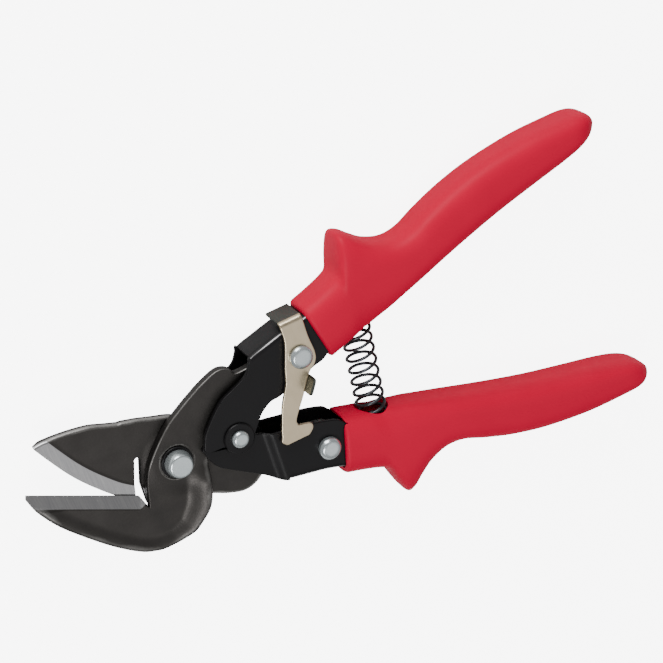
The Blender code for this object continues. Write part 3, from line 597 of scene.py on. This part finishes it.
bolt = [(0, -10), (3.1, -10), (3.5, -9.6), (3.5, 4.4), (4.8, 4.4), (5.0, 4.6), (5.0, 5.2),
        (4.97, 5.7), (4.90, 6.3), (4.78, 6.9), (4.60, 7.45), (4.38, 7.95), (4.15, 8.3),
        (3.9, 8.5), (3.6, 8.58), (3.2, 8.6), (0, 8.6)]
wall, upper_y, lower_y = WIDE_OUT, -HALF_SPREAD, HALF_SPREAD
NOT_WORN = 9.0              # millimetres from a worn fold: far enough that the paint is whole
for node, body, x, y, profile, finish in (
        ("pivot_bolt", "lower_jaw", 0, 0, bolt, zinc),
        # The washer under the bolt head takes the black paint as a painted shade in the recess
        # round the head.
        ("pivot_head_washer", "lower_jaw", 0, 0, washer(BOLT_HOLE, 5.9, 3.4, 4.1), black_steel),
        ("pivot_nut_washer", "lower_jaw", 0, 0, washer(BOLT_HOLE, 7.2, -5.1, -4.0), zinc),
        ("handle_pivot_rivet", "lower_handle", PIVOT_X, 0,
         headed(2.4, 3.1, (wall + 1.2, wall + 2.9), (-wall - 2.4, -wall - 1.2)), zinc),
        ("handle_pivot_spacer", "lower_handle", PIVOT_X, 0,
         washer(PIVOT_HOLE, 3.9, -3.7, 3.7), zinc),
        ("handle_pivot_near_washer", "lower_handle", PIVOT_X, 0,
         washer(PIVOT_HOLE, 5.6, wall + 0.2, wall + 1.0, 0.3), black_steel),
        ("handle_pivot_far_washer", "lower_handle", PIVOT_X, 0,
         washer(PIVOT_HOLE, 5.6, -wall - 1.0, -wall - 0.2, 0.3), black_steel),
        ("lower_link_rivet", "lower_handle", LINK_X, lower_y,
         headed(3.0, 4.2, (7.6, 10.2), (-wall - 1.8, -wall - 0.2)), zinc),
        ("lower_link_near_spacer", "lower_handle", LINK_X, lower_y,
         washer(LINK_HOLE, 5.8, 0.15, 5.5), zinc),
        ("lower_link_far_spacer", "lower_handle", LINK_X, lower_y,
         washer(LINK_HOLE, 5.8, -5.5, -3.95), zinc),
        ("upper_link_rivet", "upper_handle", LINK_X, upper_y,
         headed(3.0, 4.2, (9.8, 11.7), (-wall - 1.8, -wall - 0.2)), zinc),
        ("upper_link_near_spacer", "upper_handle", LINK_X, upper_y,
         washer(LINK_HOLE, 5.8, 3.95, 5.5), zinc),
        ("upper_link_far_spacer", "upper_handle", LINK_X, upper_y,
         washer(LINK_HOLE, 5.8, -5.5, -0.15), zinc),
        ("latch_washer", "upper_handle", LINK_X, upper_y,
         washer(LINK_HOLE, 4.6, wall + 0.2, 8.1), zinc)):
    piece = make_piece("turned_" + node, [revolve(profile, x, y)], finish)
    mark(piece, "to_fold", lambda p: np.full(len(p), NOT_WORN))
    settle(piece, body, "black_steel" if finish is black_steel else "zinc_steel", node)

# The lock nut: a hexagon whose corners a 30 degree cone cuts down, open in the middle.
NUT_SIDES, HALF_FLATS, FACE_R = 144, 5.5, 5.3
turn = np.arange(NUT_SIDES) * math.tau / NUT_SIDES
hexagon = HALF_FLATS / np.cos((turn + math.pi / 6) % (math.pi / 3) - math.pi / 6)
rings = []
for radius, z, chamfered in ((BOLT_HOLE, -9.1, 0), (BOLT_HOLE, -5.4, 0), (FACE_R, -5.4, 0),
                             (1, -5.4, -1), (1, -9.4, 1), (FACE_R, -9.4, 0),
                             (4.3, -9.4, 0), (BOLT_HOLE, -9.1, 0)):
    across = hexagon if chamfered else np.full(NUT_SIDES, radius)
    drop = chamfered * np.maximum(hexagon - FACE_R, 0) * math.tan(math.radians(30))
    rings.append(np.c_[across * np.cos(turn), across * np.sin(turn), z + drop])
nut = make_piece("hexagon_lock_nut", [np.stack(rings)], zinc, 25)
settle(nut, "lower_jaw", "zinc_steel", "pivot_lock_nut")

# ---------------------------------------------------------------- latch
# A hook folded from 1.2 mm spring steel and nickel-plated. Its top is bent down behind the
# upper handle, a thumb tab stands up from its side, and the hook catches the lower rivet's head.

# Nickel plate is a warm silver, brushed along the strip by drawing and tumbling.
nickel, tree, shader, place = start_material("nickel_plated_spring_steel")
drawn_at = add_node(tree, "ShaderNodeMapping",
                    {"Rotation": (0, 0, math.radians(-20)), "Scale": (1500.0, 90.0, 90.0)},
                    {"Vector": place}).outputs["Vector"]
drawn = add_node(tree, "ShaderNodeTexNoise", {"Scale": 1.0, "Detail": 3.0},
                 {"Vector": drawn_at}).outputs["Fac"]
cloud = add_node(tree, "ShaderNodeTexNoise", {"Scale": 1 / (5 * MM), "Detail": 4.0},
                 {"Vector": place}).outputs["Fac"]
tone = add_node(tree, "ShaderNodeMix", {"data_type": "RGBA", 6: linear("#CDBD9F"),
                                        7: linear("#E0CFB2")}, {0: cloud}).outputs[2]
tree.links.new(add_node(tree, "ShaderNodeMapRange", {"To Min": 0.22, "To Max": 0.40},
                        {"Value": drawn}).outputs["Result"], shader.inputs["Roughness"])
tree.links.new(add_node(tree, "ShaderNodeBump", {"Strength": 0.12, "Distance": 0.05 * MM},
                        {"Height": drawn}).outputs["Normal"], shader.inputs["Normal"])
shader.inputs["Metallic"].default_value = 1.0
# Painted dark reflection: the bent-down top and the thumb tab's upper part are darkened to
# stand in for the dark surroundings that these mirror-like faces reflect.
painted_dark_reflection = add_node(tree, "ShaderNodeAttribute", {"attribute_name": "painted_dark_reflection"}).outputs["Fac"]
tone = add_node(tree, "ShaderNodeMix", {"data_type": "RGBA", 7: linear("#4B4F49")},
                {0: painted_dark_reflection, 6: tone}).outputs[2]
tree.links.new(tone, shader.inputs["Base Color"])

LATCH_LOW, LATCH_SHEET = 8.3, 1.2


def strip_rings(left, right, fold_at, fold_radius):
    """A flat strip between two sides, with rounded rims; beyond fold_at it turns down through a
    quarter circle: the length past the fold line becomes the angle, then runs straight down."""
    width = np.linalg.norm(right - left, axis=1)[:, None]
    rim = np.minimum(0.35, width / 4)
    quarter, level = np.linspace(0, math.pi / 2, 5), np.linspace(0, 1, 14)
    edge = np.stack([rim * (1 - np.cos(quarter)), LATCH_SHEET - rim * (1 - np.sin(quarter))], -1)
    face = rim + (width - 2 * rim) * level
    over = np.concatenate([edge, np.stack([face, 0 * face + LATCH_SHEET], -1),
                           np.stack([width - edge[:, ::-1, 0], edge[:, ::-1, 1]], -1)], 1)
    beneath = np.stack([over[..., 0], LATCH_SHEET - over[..., 1]], -1)[:, ::-1]
    section = np.concatenate([over, beneath], 1)
    across = (right - left) / width
    xy = left[:, None] + across[:, None] * section[..., :1]
    past = np.maximum(fold_at - xy[..., 1], 0)
    turn = np.clip(past / fold_radius, 0, math.pi / 2)
    run = np.maximum(past - fold_radius * math.pi / 2, 0)
    out = fold_radius - LATCH_SHEET / 2 + section[..., 1]
    y = np.maximum(xy[..., 1], fold_at) - out * np.sin(turn)
    z = LATCH_LOW + LATCH_SHEET / 2 - fold_radius + out * np.cos(turn) - run
    return np.dstack([xy[..., 0], y, z])


pairs = [((-5.0, -25.6), (3.7, -25.6)), ((-5.0, -22.0), (3.7, -22.0)),
         ((-5.0, -18.0), (3.7, -18.0)), ((-5.0, -15.0), (3.7, -15.0)),
         ((-5.0, -12.0), (3.7, -12.0)), ((-5.0, -6.0), (3.9, -7.0)),
         ((-5.6, 1.0), (6.4, 1.0)), ((-4.4, 4.6), (7.4, 4.6)), ((-1.2, 7.4), (8.4, 8.0)),
         ((3.3, 14.4), (11.8, 14.5)), ((8.2, 21.5), (14.3, 21.5)), ((8.5, 23.8), (15.1, 24.0)),
         ((8.2, 24.3), (15.3, 25.0)), ((4.0, 25.6), (15.6, 26.2)), ((3.6, 27.6), (16.2, 27.8)),
         ((5.4, 29.4), (15.0, 29.4)), ((6.4, 29.5), (14.0, 29.5))]
at_rivet = np.array([LINK_X, -HALF_SPREAD])
left, right = (spline([p[k] for p in pairs], STEPS) + at_rivet for k in (0, 1))
FOLD_BEHIND, FOLD_R = 12.9, 1.2         # the fold's distance behind the rivet, and its radius
latch = make_piece("folded_latch",
                   [strip_rings(left, right, -HALF_SPREAD - FOLD_BEHIND, FOLD_R)], nickel)
cut(latch, round_bar(LINK_X, -HALF_SPREAD, LINK_HOLE, 5, 12))

# The thumb tab: a short strip that starts in the plate and turns up from its left side.
side_from, side_to = np.array([-1.3, 7.9]) + at_rivet, np.array([2.3, 13.5]) + at_rivet
along = (side_to - side_from) / np.linalg.norm(side_to - side_from)
outward = np.array([-along[1], along[0]])
path = spline([(-3.4, 0.0), (-1.2, 0.0), (-0.5, 0.25), (-0.15, 1.0), (-0.05, 2.2), (0.0, 4.6),
               (0.0, 5.4)], 5)
run = np.gradient(path, axis=0)
run = run / np.linalg.norm(run, axis=1)[:, None]
half = 3.2 - corner(5.45 - path[:, 1], 1.1) * 0.9
turn = np.arange(40) * math.tau / 40
box = np.stack([np.sign(f) * np.abs(f) ** 0.35 for f in (np.cos(turn), np.sin(turn))], -1)
middle = (side_from + side_to) / 2
TAB_HALF = 0.55             # half the tab's thickness
flat = path[:, None, :1] + run[:, None, 1:] * box[None, :, 1:] * -TAB_HALF
rise = path[:, None, 1:] + run[:, None, :1] * box[None, :, 1:] * TAB_HALF
place_xy = middle + outward * flat + along * (box[None, :, :1] * half[:, None, None])
thumb = make_piece("latch_thumb_tab", [np.dstack([place_xy, LATCH_LOW + 0.6 + rise])], nickel)
# Painted dark reflection on the latch's bent-down top and on the thumb tab's upper part.
mark(latch, "painted_dark_reflection", lambda p: smooth((8.2 - p[:, 2]) / 0.8))
mark(thumb, "painted_dark_reflection", lambda p: smooth((p[:, 2] - 9.4) / 0.6) * (p[:, 2] < 14.6))
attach(thumb, "latch")
settle(latch, "latch", "nickel_steel", "latch")

# ---------------------------------------------------------------- return spring
# A coil of black oil-tempered wire between the two grips, sunk into a round recess in each.
# Its turns lie about 3.2 mm apart at the ends and 4.7 mm apart in the middle.

SPRING_X, SPRING_SEAT, SPRING_R, WIRE_R, SPRING_TURNS = -76.0, 23.6, 5.2, 0.60, 12
SPRING_LEAN = 0.10          # sideways run of its axis for each millimetre along Y

# Oil-tempered wire: black, fairly glossy, with drawing lines along it.
wire, tree, shader, place = start_material("black_oil_tempered_wire")
scale = add_node(tree, "ShaderNodeTexNoise", {"Scale": 1 / (0.8 * MM), "Detail": 2.0},
                 {"Vector": place}).outputs["Fac"]
tone = add_node(tree, "ShaderNodeMix", {"data_type": "RGBA", 6: linear("#2E3032"),
                                        7: linear("#565A5E")}, {0: scale}).outputs[2]
tree.links.new(tone, shader.inputs["Base Color"])
tree.links.new(add_node(tree, "ShaderNodeMapRange", {"To Min": 0.22, "To Max": 0.36},
                        {"Value": scale}).outputs["Result"], shader.inputs["Roughness"])
shader.inputs["Metallic"].default_value = 0.8

share = np.linspace(0, 1, SPRING_TURNS * 32 + 1)
turn = share * SPRING_TURNS * math.tau
rise = -SPRING_SEAT + 2 * SPRING_SEAT * (share - 0.030 * np.sin(math.tau * share))
outward = np.stack([np.cos(turn), 0 * turn, -np.sin(turn)], -1)
centre = np.stack([SPRING_X + SPRING_LEAN * rise, rise, 0 * turn], -1) + SPRING_R * outward
around = np.arange(12) * math.tau / 12
wire_rings = (centre[:, None] + WIRE_R * outward[:, None] * np.cos(around)[None, :, None]
              + WIRE_R * np.array([0, 1, 0]) * np.sin(around)[None, :, None])
spring = make_piece("coiled_return_spring", [wire_rings], wire)
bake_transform(spring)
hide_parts("return_spring")

# ---------------------------------------------------------------- grips
# Thick sleeves of red vinyl, moulded over the tangs, with a finger guard on the outer side.
# The spring sits in a round recess in each.

# Soft vinyl: satin red, faintly uneven in the light from a fine moulded texture.
vinyl, tree, shader, place = start_material("moulded_red_vinyl")
pores = add_node(tree, "ShaderNodeTexNoise", {"Scale": 1 / (0.9 * MM), "Detail": 2.0},
                 {"Vector": place}).outputs["Fac"]
swell = add_node(tree, "ShaderNodeTexNoise", {"Scale": 1 / (14 * MM), "Detail": 2.0},
                 {"Vector": place}).outputs["Fac"]
tone = add_node(tree, "ShaderNodeMix", {"data_type": "RGBA", 6: linear("#CF0036"),
                                        7: linear("#DA003A")}, {0: swell}).outputs[2]
tree.links.new(tone, shader.inputs["Base Color"])
shader.inputs["Specular IOR Level"].default_value = 0.12
tree.links.new(add_node(tree, "ShaderNodeMapRange", {"To Min": 0.40, "To Max": 0.52},
                        {"Value": swell}).outputs["Result"], shader.inputs["Roughness"])
relief = add_node(tree, "ShaderNodeMath", {"operation": "MULTIPLY_ADD", 1: 6.0},
                  {0: swell, 2: pores}).outputs[0]
tree.links.new(add_node(tree, "ShaderNodeBump", {"Strength": 0.12, "Distance": 0.05 * MM},
                        {"Height": relief}).outputs["Normal"], shader.inputs["Normal"])

# Each rib of a grip from front to back: its inner side, its outer side, and how far the lower
# grip's rib lies in front of the upper one's.
ribs = [((-64.2, 11.5), (-58.6, 33.8), 3.4), ((-68.0, 12.6), (-65.8, 36.0), 3.4),
        ((-71.5, 13.7), (-72.6, 38.6), 3.3), ((-74.0, 14.4), (-75.5, 41.0), 3.2),
        ((-76.5, 15.1), (-77.3, 47.5), 3.1), ((-79.0, 15.9), (-79.6, 53.0), 3.0),
        ((-82.0, 16.7), (-82.6, 52.6), 2.9), ((-86.0, 17.9), (-86.4, 49.2), 2.8),
        ((-91.0, 19.4), (-91.2, 45.4), 2.6), ((-98.0, 21.9), (-98.0, 42.8), 2.4),
        ((-106.0, 24.6), (-105.0, 43.4), 2.2), ((-114.0, 27.3), (-113.0, 47.0), 2.0),
        ((-126.0, 31.1), (-124.0, 51.2), 2.0), ((-140.0, 35.2), (-138.0, 54.8), 2.0),
        ((-156.0, 39.2), (-156.0, 57.2), 2.0), ((-168.0, 42.2), (-171.0, 57.5), 2.0),
        ((-177.0, 45.0), (-180.0, 57.0), 2.0), ((-181.5, 47.2), (-183.8, 55.0), 2.0),
        ((-184.2, 49.8), (-185.2, 52.4), 2.0)]
GRIP_HALF, SQUARENESS = 9.4, 3.3        # half the height; power of the sections' superellipse
FRONT_R, END_RUN = 1.5, 12              # the front's radius; length of the thinned end
POCKET_HALF, POCKET_FLAT, POCKET_EASE = 7.6, 5.9, 1.9   # room for the tang, corners eased
RECESS_R, RECESS_PAST = 6.2, 0.95       # spring recess, and how far it runs past the spring


def grip_rings(ahead):
    """Superellipse sections between the ribs' inner and outer sides. The front is rounded by
    1.5 mm, and the last 12 mm thin down to a blunt end."""
    inner = spline([(x + ahead * shift, v) for (x, v), _, shift in ribs], 8)
    outer = spline([(x + ahead * shift, v) for _, (x, v), shift in ribs], 8)
    centre, half = (inner + outer) / 2, (outer - inner) / 2
    length = np.r_[0, np.cumsum(np.linalg.norm(np.diff(centre, axis=0), axis=1))]
    stations = np.unique(np.r_[0, 0.1, 0.3, 0.6, 1.0, 1.5, length[1:]])
    centre, half = (np.stack([np.interp(stations, length, v[:, k]) for k in (0, 1)], -1)
                    for v in (centre, half))
    size = np.linalg.norm(half, axis=1)
    half = half * ((size - corner(stations, FRONT_R)) / size)[:, None]
    to_end = np.clip((stations - length[-1] + END_RUN) / END_RUN, 0, 1)
    thick = (GRIP_HALF - corner(stations, FRONT_R)) * np.sqrt(1 - 0.80 * to_end ** 2.6)
    turn = np.arange(72) * math.tau / 72
    across, up = (np.sign(f) * np.abs(f) ** (2 / SQUARENESS) for f in (np.cos(turn), np.sin(turn)))
    xy = centre[:, None] + half[:, None] * across[None, :, None]
    return np.dstack([xy, thick[:, None] * up])


for name, body, side in (("upper_grip", "upper_handle", -1), ("lower_grip", "lower_handle", 1)):
    grip = make_piece("vinyl_" + name, [grip_rings(side > 0) * (1, side, 1)], vinyl, 50)
    tops, bottoms = (np.array([p[k] for p in tang[:6]]) for k in (1, 0))
    room = [np.vstack([[(-50.0, 29.3 - ease)], tops + (0, 0.3 - ease), bottoms[::-1] - (0, 0.3),
                       [(-61.4, 13.2), (-59.8, 8.0), (-50.0, 8.0)]]) * (1, side)
            for ease in (POCKET_EASE, 0.0, 0.0, POCKET_EASE)]
    levels = (-POCKET_HALF, -POCKET_FLAT, POCKET_FLAT, POCKET_HALF)
    cut(grip, np.stack([np.c_[sheet, np.full(len(sheet), z)] for sheet, z in zip(room, levels)]))
    ring = np.arange(48) * math.tau / 48
    recess = np.stack([np.c_[SPRING_X + SPRING_LEAN * side * v + RECESS_R * np.cos(ring),
                             np.full(48, side * v), RECESS_R * np.sin(ring)]
                       for v in (5.0, SPRING_SEAT + RECESS_PAST)])
    cut(grip, recess)
    settle(grip, body, "red_vinyl", name)
